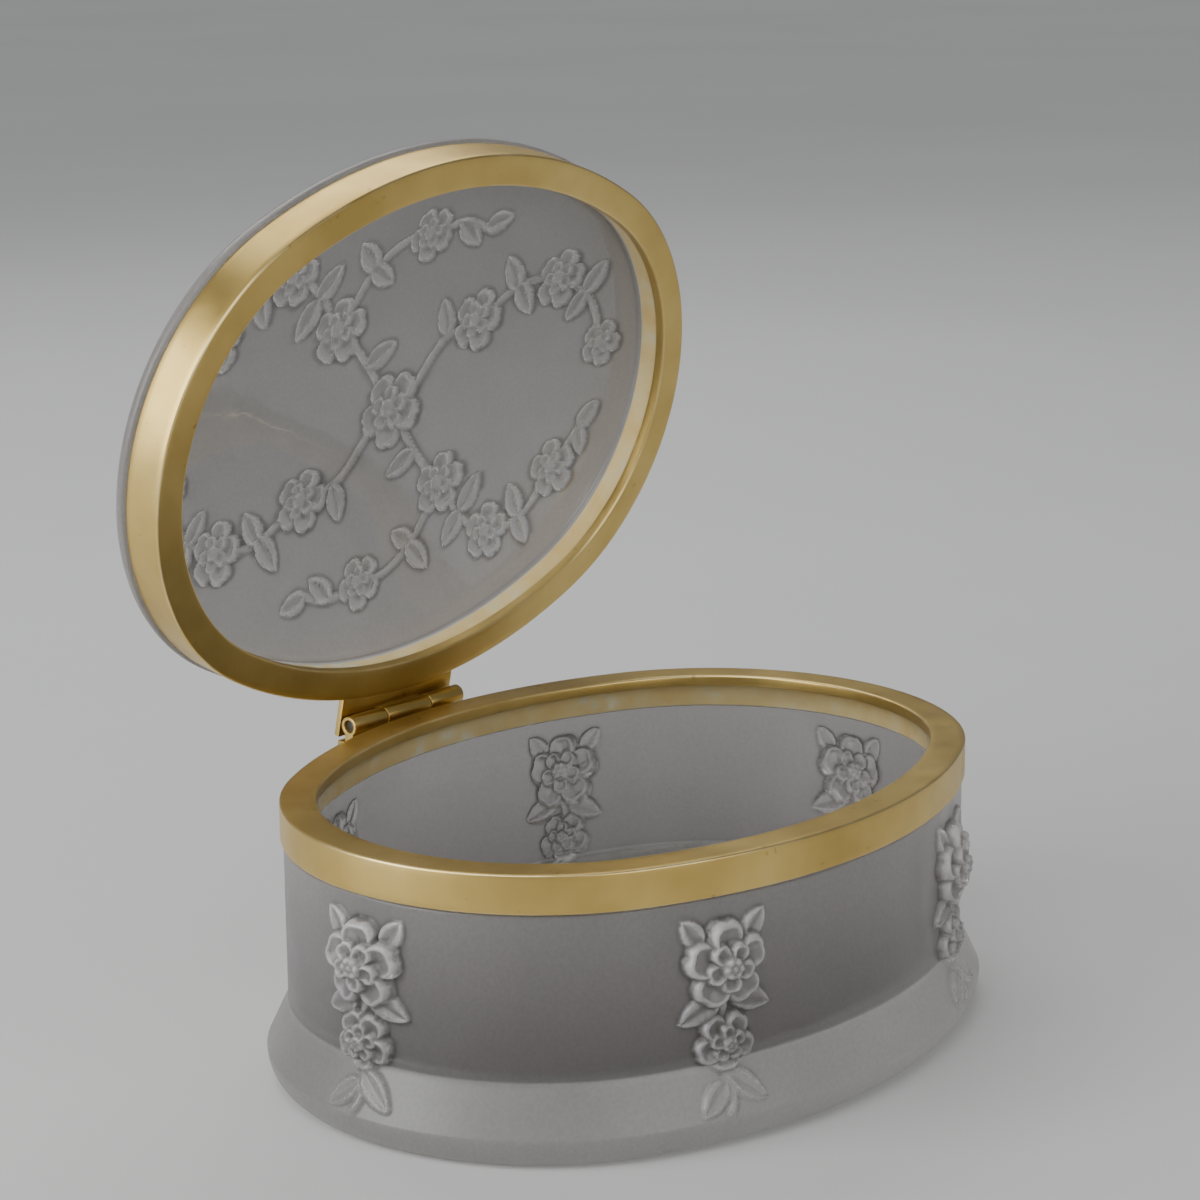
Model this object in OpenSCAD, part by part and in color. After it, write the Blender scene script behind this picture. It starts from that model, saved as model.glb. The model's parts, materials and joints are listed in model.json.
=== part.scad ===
// Oval glass casket box: a thick moulded glass bowl and a domed glass lid, each
// cemented into a gilt brass collar, joined at the back by a three-knuckle hinge.
// Millimetres, +Z up. The origin is the centre of the flat underside.
// The long axis of the oval is X, and the hinge is at the back, at +Y.

/* [Oval rim] */
// Length of both collars over their skirts
rim_length = 160; // [150:1:170]
// Width of both collars over their skirts
rim_width = 119.2; // [112:0.4:126]
// Height of the base collar's flat face above the table
rim_height = 57; // [48:0.5:70]

/* [Bowl glass] */
// Thickness of the bowl's wall
bowl_wall = 5.7; // [4.8:0.1:7]
// Thickness of the solid floor
floor_thickness = 13; // [8:0.5:17]
// Radius of the fillet between floor and wall inside
floor_fillet = 5; // [2:0.5:8]
// How far the foot spreads beyond the wall
foot_spread = 4.5; // [2:0.1:6]
// Height at which the wall starts to sweep out into the foot
foot_sweep_height = 21; // [16:0.5:26]
// Height of the foot's widest line
foot_crest_height = 6.5; // [5:0.1:8]
// How far the flat underside lies in from the foot's widest line
foot_undercut = 5.2; // [3:0.1:6.5]

/* [Brass collars] */
// Thickness of the collars' sheet
collar_sheet = 1; // [0.8:0.05:1.3]
// Width of the base collar's flat face
base_face_width = 7.3; // [7:0.1:9]
// Width of the lid collar's flat face
lid_face_width = 6.7; // [6.4:0.1:8.5]
// Height of the base collar's outer skirt
base_skirt_height = 7.8; // [6.8:0.1:11]
// Height of the lid collar's outer skirt
lid_skirt_height = 9.2; // [8.4:0.1:12]
// Depth of the inner lips that hide the glass edges
lip_depth = 2.5; // [2:0.1:4]
// Chamfer on the collars' outer and inner edges
collar_chamfer = 0.35; // [0.1:0.05:0.5]
// How far the skirts stand proud of the glass wall
skirt_stand = 0.6; // [0.3:0.05:1]
// Thickness of the cement between glass and brass
cement_layer = 0.4; // [0.3:0.05:0.6]
// Gap between the skirt's edge and the glass shoulder
shoulder_gap = 0.2; // [0.1:0.05:0.4]
// Gap between the two flat faces when the lid is shut
rim_gap = 0.1; // [0.05:0.05:0.3]

/* [Lid glass] */
// Thickness of the lid's rim wall, inside the collar
lid_wall = 4.3; // [3.8:0.1:5.2]
// Thickness of the lid's dome
lid_thickness = 5; // [4:0.1:7]
// How far the lid's edge reaches out past the skirt
lid_overhang = 0.6; // [0.2:0.1:1.2]
// Height of the lid's rounded edge above the skirt
lid_edge_height = 3.2; // [2.4:0.1:5]
// Rise of the dome above the edge
dome_rise = 4.5; // [2:0.1:8]
// Distance over which the dome rises, from the edge inwards
dome_run = 38; // [30:1:40]

/* [Hinge] */
// Length of the hinge's barrel
hinge_length = 34.4; // [28:0.2:42]
// Length of the middle knuckle, which belongs to the lid
middle_knuckle = 13.5; // [9:0.1:18]
// Gap between neighbouring knuckles
knuckle_gap = 0.2; // [0.1:0.05:0.4]
// Radius of the barrel
barrel_radius = 2.1; // [1.8:0.05:2.3]
// Radius of the hinge pin
pin_radius = 1.3; // [0.9:0.05:1.4]
// Radial running clearance between the pin and its bores
pin_clearance = 0.05; // [0.02:0.01:0.09]
// Depth of the recess at each end of the barrel
pin_recess = 0.6; // [0:0.1:1.5]
// Thickness of the two leaves
leaf_thickness = 1.3; // [1:0.05:1.6]
// Gap between the barrel and the lid's leaf
leaf_gap = 0.3; // [0.2:0.05:0.6]
// How far the leaves reach behind the pin's axis
leaf_reach = 3.4; // [2.6:0.1:4.2]
// Distance of the pin's axis behind the collars' skirts
axis_behind = 4.7; // [4:0.1:6]
// Depth of the pin's axis below the base collar's face
axis_drop = 0.45; // [0:0.05:0.8]
// Thickness of the webs that join knuckles and leaves
web_thickness = 2.4; // [1.6:0.1:3]
// Opening at which the lid's leaf lands on the base's leaf
stop_angle = 92; // [84:1:96]
// Opening of the lid as it stands, 0 when shut
lid_open = 78; // [0:1:92]

/* [Moulded blossoms] */
// Radius of the large blossoms on the bowl, over their petals
blossom_radius = 9; // [6:0.1:9.5]
// Radius of the small blossoms on the bowl
bud_radius = 6.6; // [4:0.1:7]
// How far the bowl's large blossoms stand out of the wall
bowl_relief = 5.2; // [2:0.1:6]
// How far the lid's large blossoms stand out of the dome
lid_relief = 3.4; // [2:0.1:4]
// Height of the large blossoms above the table
blossom_height = 36; // [34:0.5:38]
// Height of the small blossoms above the table
bud_height = 20.5; // [18:0.5:22]
// Distance of the four side sprays from the short axis
spray_offset = 38; // [32:1:42]

/* [Hidden] */
$fn = 144;

brass = [0.80, 0.62, 0.30];
steel = [0.45, 0.44, 0.42];
plaster = [0.86, 0.78, 0.58];
frosted = [0.80, 0.81, 0.82, 0.6];

// Four-centre oval: round ends about (+-end_centre, 0) and long flat sides about
// (0, -+side_centre). Each offset of it is again a four-centre oval. The arcs meet
// on lines of slope 15 to 8, so that the centres and radii are whole multiples of
// one unit and the arcs meet exactly.
half_length = rim_length / 2;
oval_unit = fine((rim_length - rim_width) / 12);
half_width = half_length - 6 * oval_unit;
end_centre = 8 * oval_unit;
side_centre = 15 * oval_unit;
end_radius = half_length - end_centre;
side_radius = half_width + side_centre;
end_sweep = atan2(15, 8);
wedge_reach = 16;

// Offsets from the rim line, positive outwards
neck_offset = -(collar_sheet + cement_layer);
wall_offset = -skirt_stand;
bowl_inside = neck_offset - (bowl_wall - cement_layer - collar_sheet + skirt_stand);
crest_offset = wall_offset + foot_spread;
lid_inside = neck_offset - lid_wall;
core_offset = -16;

// Heights of the base
neck_top = rim_height - collar_sheet - cement_layer;
skirt_low = rim_height - base_skirt_height;
shoulder_height = skirt_low - shoulder_gap;

// Heights of the lid, shut
lid_face = rim_height + rim_gap;
lid_skirt_top = lid_face + lid_skirt_height;
lid_shoulder = lid_skirt_top + shoulder_gap;
lid_edge_top = lid_shoulder + lid_edge_height;
edge_round = lid_edge_height * 0.75;
edge_offset = lid_overhang - edge_round;
ceiling_fillet = 2.5;
dome_core = edge_offset - dome_run;

// Hinge
axis_y = half_width + axis_behind;
axis_z = rim_height - axis_drop;
bore_radius = pin_radius + pin_clearance;
lid_leaf_low = barrel_radius + leaf_gap;
corner_radius = norm([leaf_reach, lid_leaf_low]);
corner_angle = atan2(lid_leaf_low, leaf_reach);
stop_clearance = 0.08;
base_leaf_top = corner_radius * sin(corner_angle - stop_angle) - stop_clearance;
end_knuckle = (hinge_length - middle_knuckle) / 2 - knuckle_gap;
knuckle_centre = (middle_knuckle + hinge_length) / 4 + knuckle_gap / 2;
leaf_root = half_width / 2;

// The lid's blossoms, as [x, y, radius] on one half of the shut lid. The other half
// is the same, turned half round, and one more blossom sits in the middle.
lid_blossoms = [[19, 20, 7.6], [36, 34, 6.8], [56, 22, 7],
                [24, -17, 7.4], [49, -24, 7.4], [66, -7, 5.8], [-4, 39, 6.4]];
root_depth = 2.5;

// Height of the lid's outer surface, shut, at an offset from the rim line
function dome_height(d) =
    let (s = max(0, min(1, (edge_offset - d) / dome_run)))
    lid_edge_top + dome_rise * (1 - (1 - s) * (1 - s));

// Offset of a point of the plan from the rim line
function rim_offset(x, y) =
    atan2(abs(y), abs(x) - end_centre) < end_sweep && abs(x) > end_centre
        ? norm([abs(x) - end_centre, y]) - end_radius
        : norm([x, abs(y) + side_centre]) - side_radius;

// A length kept to a thousandth of a millimetre
function fine(length) = round(length * 1000) / 1000;

// Points on an arc, from one angle to another, in a number of steps
function arc(cx, cz, r, from, to, steps) =
    [for (i = [0 : steps]) let (t = from + (to - from) * i / steps) [cx + r * cos(t), cz + r * sin(t)]];

// Outline of the oval at an offset, for cores that lie buried inside a swept ring
function oval_arc(cx, cy, r, from, to) =
    [for (i = [0 : 11]) let (t = from + (to - from) * i / 12) [cx + r * cos(t), cy + r * sin(t)]];
function oval_points(d) = concat(
    oval_arc(end_centre, 0, end_radius + d, -end_sweep, end_sweep),
    oval_arc(0, -side_centre, side_radius + d, end_sweep, 180 - end_sweep),
    oval_arc(-end_centre, 0, end_radius + d, 180 - end_sweep, 180 + end_sweep),
    oval_arc(0, side_centre, side_radius + d, 180 + end_sweep, 360 - end_sweep));

// Sweeps a profile of [offset, height] points round the oval
module swept(profile) {
    for (side = [-1, 1]) {
        intersection() {
            translate([side * end_centre, 0, 0]) turned(profile, end_radius);
            wedge([[side * end_centre, 0], [side * (end_centre + 8 * wedge_reach), 15 * wedge_reach],
                   [side * (end_centre + 8 * wedge_reach), -15 * wedge_reach]]);
        }
        intersection() {
            translate([0, -side * side_centre, 0]) turned(profile, side_radius);
            wedge([[0, -side * side_centre], [8 * wedge_reach, side * (15 * wedge_reach - side_centre)],
                   [-8 * wedge_reach, side * (15 * wedge_reach - side_centre)]]);
        }
    }
}
module turned(profile, radius) {
    rotate_extrude() polygon([for (p = profile) [fine(radius + p[0]), fine(p[1])]]);
}
module wedge(points) {
    translate([0, 0, -1]) linear_extrude(2 * rim_height) polygon(points);
}

// Flat slab inside a swept ring
module core(d, low, high) {
    translate([0, 0, low]) linear_extrude(high - low) polygon(oval_points(d));
}

// Places children on the bowl's wall, +Y outwards, +Z up
module at_wall_end(side) {
    rotate([0, 0, side > 0 ? -90 : 90]) translate([0, half_length + wall_offset, 0]) children();
}
module at_wall_side(sx, sy) {
    mirror([0, sy < 0 ? 1 : 0, 0]) translate([0, -side_centre, 0])
        rotate([0, 0, -sx * asin(spray_offset / side_radius)])
            translate([0, side_radius + wall_offset, 0]) children();
}

// Places children on the shut lid's dome, +Z outwards
module on_dome(x, y) {
    translate([x, y, dome_height(rim_offset(x, y))]) children();
}

// Turns the shut lid's parts about the hinge pin
module opened() {
    translate([0, axis_y, axis_z]) rotate([-lid_open, 0, 0]) translate([0, -axis_y, -axis_z]) children();
}

// Open blossom of five round petals and a button, facing +Z, rooted in the glass
module blossom(r, relief) {
    petal = 0.45 * r;
    intersection() {
        union() {
            for (i = [0 : 4]) rotate([0, 0, 90 + 72 * i]) translate([r - petal, 0, 0]) cap(petal, 0.72 * relief);
            cap(0.62 * r, 0.85 * relief);
            cap(0.26 * r, relief);
        }
        translate([0, 0, -root_depth]) cylinder(h = root_depth + 2 * relief, r = 1.1 * r);
    }
}

// Ball whose top stands out of the plane as a cap of this radius and height
module cap(radius, height) {
    ball = (radius * radius + height * height) / (2 * height);
    translate([0, 0, height - ball]) sphere(ball, $fn = 40);
}

module bowl_sprays() {
    for (side = [-1, 1]) at_wall_end(side) spray();
    for (sx = [-1, 1], sy = [-1, 1]) at_wall_side(sx, sy) spray();
}

// One spray: a large blossom over a small one
module spray() {
    translate([0, 0, blossom_height]) rotate([-90, 0, 0]) blossom(blossom_radius, bowl_relief);
    translate([0, 0, bud_height]) rotate([-90, 0, 0])
        blossom(bud_radius, bowl_relief * bud_radius / blossom_radius);
}

module glass_bowl() {
    sweep_height = foot_sweep_height - foot_crest_height;
    roll_height = foot_crest_height;
    outside = concat(
        [[crest_offset - foot_undercut, 0]],
        [for (i = [1 : 6]) let (t = 90 * i / 6)
            [crest_offset - foot_undercut * (1 - sin(t)), roll_height * (1 - cos(t))]],
        [for (i = [1 : 8]) let (s = i / 8)
            [wall_offset + foot_spread * pow(1 - s, 2), foot_crest_height + sweep_height * s]],
        [[wall_offset, shoulder_height], [neck_offset, shoulder_height], [neck_offset, neck_top],
         [bowl_inside, neck_top]]);
    inside = concat(
        arc(bowl_inside - floor_fillet, floor_thickness + floor_fillet, floor_fillet, 0, -90, 6),
        [[core_offset - 2, floor_thickness], [core_offset - 2, 0]]);
    color(frosted) union() {
        swept(concat(outside, inside));
        core(core_offset, 0, floor_thickness);
        bowl_sprays();
    }
}

module base_cement() {
    lip_inner = -base_face_width + collar_sheet * 0.8;
    color(plaster) swept([
        [-collar_sheet, skirt_low + cement_layer], [-collar_sheet, rim_height - collar_sheet],
        [lip_inner, rim_height - collar_sheet], [lip_inner, rim_height - lip_depth + cement_layer],
        [bowl_inside, rim_height - lip_depth + cement_layer], [bowl_inside, neck_top],
        [neck_offset, neck_top], [neck_offset, skirt_low + cement_layer]]);
}

module base_collar() {
    c = collar_chamfer;
    lip_inner = -base_face_width + collar_sheet * 0.8;
    color(brass) swept([
        [0, skirt_low], [0, rim_height - c], [-c, rim_height], [-base_face_width + c, rim_height],
        [-base_face_width, rim_height - c], [-base_face_width, rim_height - lip_depth],
        [lip_inner, rim_height - lip_depth], [lip_inner, rim_height - collar_sheet],
        [-collar_sheet, rim_height - collar_sheet], [-collar_sheet, skirt_low]]);
}

module glass_lid() {
    top_steps = 8;
    edge = concat(
        [[lid_inside, lid_face + collar_sheet + cement_layer],
         [neck_offset, lid_face + collar_sheet + cement_layer],
         [neck_offset, lid_shoulder], [lid_overhang, lid_shoulder]],
        arc(edge_offset, lid_edge_top - edge_round, edge_round, 0, 80, 5),
        [for (i = [1 : top_steps]) let (d = edge_offset - dome_run * i / top_steps) [d, dome_height(d)]],
        [[dome_core - 3, dome_height(dome_core)], [dome_core - 3, dome_height(dome_core) - lid_thickness]],
        [for (i = [top_steps : -1 : 2]) let (d = edge_offset - dome_run * i / top_steps)
            [d, dome_height(d) - lid_thickness]],
        arc(lid_inside - ceiling_fillet, dome_height(lid_inside) - lid_thickness - ceiling_fillet,
            ceiling_fillet, 80, 0, 4));
    color(frosted) opened() union() {
        swept(edge);
        core(dome_core - 1, dome_height(dome_core) - lid_thickness, dome_height(dome_core));
        lid_sprays();
    }
}

module lid_sprays() {
    on_dome(0, 0) blossom(blossom_radius, lid_relief);
    for (turn = [0, 180], b = lid_blossoms)
        rotate([0, 0, turn]) on_dome(b[0], b[1]) blossom(b[2], lid_relief * b[2] / blossom_radius);
}

module lid_cement() {
    lip_inner = -lid_face_width + collar_sheet * 0.8;
    low = lid_face + collar_sheet;
    color(plaster) opened() swept([
        [-collar_sheet, low], [-collar_sheet, lid_skirt_top - cement_layer],
        [neck_offset, lid_skirt_top - cement_layer], [neck_offset, low + cement_layer],
        [lid_inside, low + cement_layer], [lid_inside, lid_face + lip_depth - cement_layer],
        [lip_inner, lid_face + lip_depth - cement_layer], [lip_inner, low]]);
}

module lid_collar() {
    c = collar_chamfer;
    lip_inner = -lid_face_width + collar_sheet * 0.8;
    color(brass) opened() swept([
        [0, lid_skirt_top], [-collar_sheet, lid_skirt_top], [-collar_sheet, lid_face + collar_sheet],
        [lip_inner, lid_face + collar_sheet], [lip_inner, lid_face + lip_depth],
        [-lid_face_width, lid_face + lip_depth], [-lid_face_width, lid_face + c],
        [-lid_face_width + c, lid_face], [-c, lid_face], [0, lid_face + c]]);
}

// Leaf plate and web in the pin's own frame, cut back to the collars' skirts
module leaf_plate(low) {
    translate([-hinge_length / 2, axis_y - leaf_root, axis_z + low])
        cube([hinge_length, leaf_root + leaf_reach, leaf_thickness]);
}
module knuckle(x, length) {
    translate([x - length / 2, axis_y, axis_z]) rotate([0, 90, 0]) cylinder(h = length, r = barrel_radius, $fn = 64);
}
module knuckle_web(x, length, low, high) {
    translate([x - length / 2, axis_y - web_thickness / 2, axis_z + low]) cube([length, web_thickness, high - low]);
}
module pin_bore() {
    translate([-hinge_length, axis_y, axis_z]) rotate([0, 90, 0])
        cylinder(h = 2 * hinge_length, r = bore_radius, $fn = 64);
}
module inside_skirts() {
    translate([0, -side_centre, 0]) cylinder(h = 2 * lid_skirt_top, r = side_radius, $fn = 360);
}

module base_hinge_leaf() {
    color(brass) difference() {
        union() {
            leaf_plate(base_leaf_top - leaf_thickness);
            for (side = [-1, 1]) {
                knuckle(side * knuckle_centre, end_knuckle);
                knuckle_web(side * knuckle_centre, end_knuckle, base_leaf_top - leaf_thickness / 2, 0);
            }
        }
        inside_skirts();
        pin_bore();
    }
}

module lid_hinge_leaf() {
    color(brass) opened() difference() {
        union() {
            leaf_plate(lid_leaf_low);
            knuckle(0, middle_knuckle);
            knuckle_web(0, middle_knuckle, 0, lid_leaf_low + leaf_thickness / 2);
        }
        inside_skirts();
        pin_bore();
    }
}

module hinge_pin() {
    length = hinge_length - 2 * pin_recess;
    color(steel) translate([-length / 2, axis_y, axis_z]) rotate([0, 90, 0])
        cylinder(h = length, r = pin_radius, $fn = 48);
}

glass_bowl();
base_cement();
base_collar();
glass_lid();
lid_cement();
lid_collar();
base_hinge_leaf();
lid_hinge_leaf();
hinge_pin();
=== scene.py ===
# %% [markdown]
# An oval casket of thick moulded glass. The bowl and the lid are each cemented into
# a gilt brass collar, and a three-knuckle hinge joins the collars at the back. The
# glass is satin-frosted outside and polished inside, and sprays of open blossoms
# stand out of it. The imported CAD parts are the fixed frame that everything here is
# measured from, so they are loaded first.

# %% Load the fixed frame
import json
import math

import bmesh
import bpy
import numpy as np
from mathutils import Matrix, Vector


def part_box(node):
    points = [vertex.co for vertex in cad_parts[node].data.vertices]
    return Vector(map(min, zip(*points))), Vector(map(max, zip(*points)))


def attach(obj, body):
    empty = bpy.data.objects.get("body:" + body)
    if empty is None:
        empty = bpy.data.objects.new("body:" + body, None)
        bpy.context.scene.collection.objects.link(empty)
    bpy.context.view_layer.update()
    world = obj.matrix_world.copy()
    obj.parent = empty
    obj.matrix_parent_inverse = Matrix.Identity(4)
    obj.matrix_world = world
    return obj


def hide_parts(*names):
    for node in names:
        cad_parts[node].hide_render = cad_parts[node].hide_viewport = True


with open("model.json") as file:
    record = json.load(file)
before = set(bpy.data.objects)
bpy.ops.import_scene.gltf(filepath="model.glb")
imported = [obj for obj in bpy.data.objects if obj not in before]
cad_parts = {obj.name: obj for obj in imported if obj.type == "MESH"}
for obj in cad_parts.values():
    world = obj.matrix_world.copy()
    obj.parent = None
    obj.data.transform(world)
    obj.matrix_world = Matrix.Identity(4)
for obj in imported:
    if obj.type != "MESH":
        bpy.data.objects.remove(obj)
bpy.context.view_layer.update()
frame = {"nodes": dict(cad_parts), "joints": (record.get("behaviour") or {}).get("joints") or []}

MM = 0.001
QUARTER = math.pi / 2
FULL_TURN = 2 * math.pi

# %% [markdown]
# Both collars follow one oval, drawn from four arcs. Two round ends and two long
# flat sides meet on lines of slope 15 to 8, where their directions agree, so each
# line parallel to the oval is again four arcs. That is how the glass, the cement
# and the brass keep an even thickness all the way round. A place on the oval is
# given by the direction it faces, and by its offset outwards from the rim line.

# %% The rim oval, in millimetres
HALF_LENGTH = 80.0
OVAL_UNIT = 3.4
HALF_WIDTH = HALF_LENGTH - 6 * OVAL_UNIT
END_CENTRE = 8 * OVAL_UNIT
SIDE_CENTRE = 15 * OVAL_UNIT
END_RADIUS = HALF_LENGTH - END_CENTRE
SIDE_RADIUS = HALF_WIDTH + SIDE_CENTRE
END_SWEEP = math.atan2(15, 8)


def oval_arc(facing):
    """Centre x, centre y and radius of the arc that faces this way (radians, an array)."""
    c, s = np.cos(facing), np.sin(facing)
    on_side = np.abs(s) > math.sin(END_SWEEP) - 1e-12
    centre_x = np.where(on_side, 0.0, np.sign(c) * END_CENTRE)
    centre_y = np.where(on_side, -np.sign(s) * SIDE_CENTRE, 0.0)
    return centre_x, centre_y, np.where(on_side, SIDE_RADIUS, END_RADIUS)


def oval_points(facing, offset):
    """Plan points of the oval's parallel at an offset, for an array of directions."""
    centre_x, centre_y, radius = oval_arc(facing)
    return centre_x + (radius + offset) * np.cos(facing), centre_y + (radius + offset) * np.sin(facing)


def ring_points(facing, offset, height):
    """Points in space of the oval's parallel. Offset and height may change along it."""
    x, y = oval_points(facing, offset)
    return np.stack([x, y, np.full(x.shape, height)], -1)


def rim_offset(x, y):
    """Offset of plan points from the rim line, negative inside."""
    past_end = (np.abs(x) > END_CENTRE) & (15 * (np.abs(x) - END_CENTRE) > 8 * np.abs(y))
    end = np.hypot(np.abs(x) - END_CENTRE, y) - END_RADIUS
    side = np.hypot(x, np.abs(y) + SIDE_CENTRE) - SIDE_RADIUS
    return np.where(past_end, end, side)


print("rim %.1f by %.1f mm" % (2 * HALF_LENGTH, 2 * HALF_WIDTH))

# %% [markdown]
# The heights and wall sizes are the ones the CAD parts were made to. The heights
# that the frame knows are read from it. The wall of the bowl runs straight down to
# a tight corner, and the foot flares out from there to a rolled crest.

# %% Heights and wall sizes, in millimetres
RIM_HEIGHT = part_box("base_collar")[1].z / MM
SKIRT_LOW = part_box("base_collar")[0].z / MM
HINGE = frame["joints"][0]
AXIS_Y = HINGE["pos_m"][1] / MM
AXIS_Z = HINGE["pos_m"][2] / MM
LID_OPEN = math.radians(-HINGE["range_deg"][0])
SHEET = 1.0
CEMENT = 0.4
CREVICE = 0.03
WALL_OFFSET = -0.6
NECK_OFFSET = -(SHEET + CEMENT)
NECK_BREAK = 0.3
CREASE_WIDTH = 0.1
CREASE_HEIGHT = 0.2
BOWL_INSIDE = -6.3
NECK_TOP = RIM_HEIGHT - SHEET - CEMENT
SHOULDER = SKIRT_LOW - 0.2
FLOOR = 13.0
FLOOR_FILLET = 5.0
FOOT_SPREAD = 4.5
FOOT_TOP = 16.0
FOOT_CORNER = 1.0
FOOT_CREST = 6.5
FOOT_UNDERCUT = 5.2
BASE_FACE_WIDTH = 7.3
LID_FACE_WIDTH = 6.7
LIP_DEPTH = 2.5
LIP_SHEET = 0.8
LID_FACE = RIM_HEIGHT + 0.1
LID_SKIRT_TOP = LID_FACE + 9.2
LID_SHOULDER = LID_SKIRT_TOP + 0.2
LID_EDGE_TOP = LID_SHOULDER + 3.2
LID_INSIDE = NECK_OFFSET - 4.3
LID_OVERHANG = 0.6
EDGE_ROUND = 2.4
EDGE_BREAK = 0.25
EDGE_OFFSET = LID_OVERHANG - EDGE_ROUND
DOME_RISE = 4.5
DOME_RUN = 38.0
LID_THICKNESS = 5.0
CEILING_FILLET = 1.4
CEILING_RINGS = (0.7, 1.6, 2.8, 4.2)
print("rim face at %.1f, lid opened %.0f degrees" % (RIM_HEIGHT, math.degrees(LID_OPEN)))

# %% [markdown]
# The frosted glass is relief all over: petals, leaves and stems stand out of it in
# one skin, with no undercuts, because it came out of a mould. A height field does
# the same. Each motif is a function that gives its height at points of the glass,
# and the highest motif wins, which leaves the crisp valleys that carving has. A
# blossom has two rows of cupped petals and a beaded button. Its lengths are shares
# of its radius, so that one function draws it at any size.

# %% Height of a blossom
PETALS = 5
PETAL_TURN = 360 / PETALS
OPEN_PETAL = dict(reach=1.0, length=0.47, width=0.47, inner=0.60, outer=0.50, tilt=0.12)
INNER_PETAL = dict(reach=0.60, length=0.27, width=0.27, inner=0.80, outer=0.74, tilt=0.08)
BUTTON_BEADS = 6
BEAD_RING = 0.155


def smooth_step(low, high, value):
    """Soft rise from 0 at low to 1 at high. With low above high it falls instead."""
    t = np.clip((value - low) / (high - low), 0, 1)
    return t * t * (3 - 2 * t)


def petal_height(u, v, turn, reach, length, width, inner, outer, tilt):
    """One cupped petal, pointing along turn, raised to inner at its root and outer at its tip."""
    r = u * math.cos(turn) + v * math.sin(turn)
    t = -u * math.sin(turn) + v * math.cos(turn)
    along = (r - (reach - length)) / length
    spread = width * (0.86 + 0.26 * along)
    notch = 1 - 0.10 * np.exp(-(t / (0.22 * width)) ** 2) * (along > 0)
    edge = np.sqrt((along / notch) ** 2 + (t / spread) ** 2)
    height = inner + (outer - inner) * (along + 1) / 2 + tilt * t / spread
    height += 0.10 * np.exp(-((edge - 0.80) / 0.14) ** 2) - 0.16 * np.exp(-(edge / 0.55) ** 2)
    height -= 0.03 * np.exp(-(t / 0.035) ** 2) * np.clip(1 - edge, 0, 1)
    return np.where(edge < 1, height * np.sqrt(np.clip(1 - edge ** 8, 0, 1)), 0)


def bead_height(u, v, radius, base, rise):
    """A round bead that stands on a base height."""
    dome = 1 - (np.hypot(u, v) / radius) ** 2
    return np.where(dome > 0, base + rise * np.sqrt(np.clip(dome, 0, 1)), 0)


def blossom_height(u, v):
    """Double blossom: open petals, smaller ones between them, and a beaded button."""
    height = 0.25 * np.clip(1 - (np.hypot(u, v) / 0.8) ** 2, 0, 1)
    for start, petal in ((90, OPEN_PETAL), (90 + PETAL_TURN / 2, INNER_PETAL)):
        for k in range(PETALS):
            turn = math.radians(start + PETAL_TURN * k)
            height = np.maximum(height, petal_height(u, v, turn, **petal))
    height = np.maximum(height, bead_height(u, v, 0.24, 0.80, 0.14))
    for k in range(BUTTON_BEADS):
        turn = math.radians(360 / BUTTON_BEADS * k)
        aside, ahead = u - BEAD_RING * math.cos(turn), v - BEAD_RING * math.sin(turn)
        height = np.maximum(height, bead_height(aside, ahead, 0.075, 0.86, 0.12))
    return np.maximum(height, bead_height(u, v, 0.085, 0.88, 0.12))


print("a blossom rises to", round(float(blossom_height(np.array([0.0]), np.array([0.0]))[0]), 3))

# %% [markdown]
# A leaf is pointed and folded along its middle, with slanting veins and a faintly
# wavy edge. A stem is a round rod, half sunk in the glass, that follows a smooth
# line through a few chosen points. Both are laid out in millimetres.

# %% Heights of leaves and stems
def leaf_height(a, b, root, turn, length, width):
    """Pointed leaf in millimetres, folded along its middle, with slanting veins."""
    along = ((a - root[0]) * math.cos(turn) + (b - root[1]) * math.sin(turn)) / length
    across = -(a - root[0]) * math.sin(turn) + (b - root[1]) * math.cos(turn)
    s = np.clip(along, 0, 1)
    half = 0.5 * width * np.clip(2.6 * np.sqrt(s) * (1 - s) ** 0.8, 1e-3, None)
    half *= 1 + 0.05 * np.abs(np.sin(5.5 * math.pi * s))
    edge = np.abs(across) / half
    body = 0.34 * width * (1 - 0.35 * s)
    fold = 0.55 + 0.45 * np.clip(edge / 0.6, 0, 1)
    ribs = 0.5 + 0.5 * np.cos(11 * math.pi * (s - 0.30 * edge * half / length))
    vein = 0.10 * ribs * np.clip(edge, 0, 1)
    height = body * (fold - vein) * np.sqrt(np.clip(1 - edge ** 6, 0, 1))
    return np.where((along > 0) & (along < 1) & (edge < 1), np.clip(height, 0, None), 0)


def stem_points(points, steps=8):
    """A smooth line through a few chosen points."""
    p = np.array([points[0]] + list(points) + [points[-1]], float)
    line = []
    for i in range(1, len(p) - 2):
        for t in np.linspace(0, 1, steps, endpoint=False):
            line.append(0.5 * (2 * p[i] + (p[i + 1] - p[i - 1]) * t
                               + (2 * p[i - 1] - 5 * p[i] + 4 * p[i + 1] - p[i + 2]) * t ** 2
                               + (3 * p[i] - p[i - 1] - 3 * p[i + 1] + p[i + 2]) * t ** 3))
    return np.array(line + [p[-2]])


def stem_height(a, b, points, radius):
    """Round stem along a smooth line, slightly knotted."""
    line = stem_points(points)
    nearest = np.full(a.shape, 1e9)
    for p, q in zip(line[:-1], line[1:]):
        run = q - p
        t = np.clip(((a - p[0]) * run[0] + (b - p[1]) * run[1]) / max(run @ run, 1e-9), 0, 1)
        nearest = np.minimum(nearest, np.hypot(a - p[0] - t * run[0], b - p[1] - t * run[1]))
    return np.sqrt(np.clip(radius ** 2 - nearest ** 2, 0, None))


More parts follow.
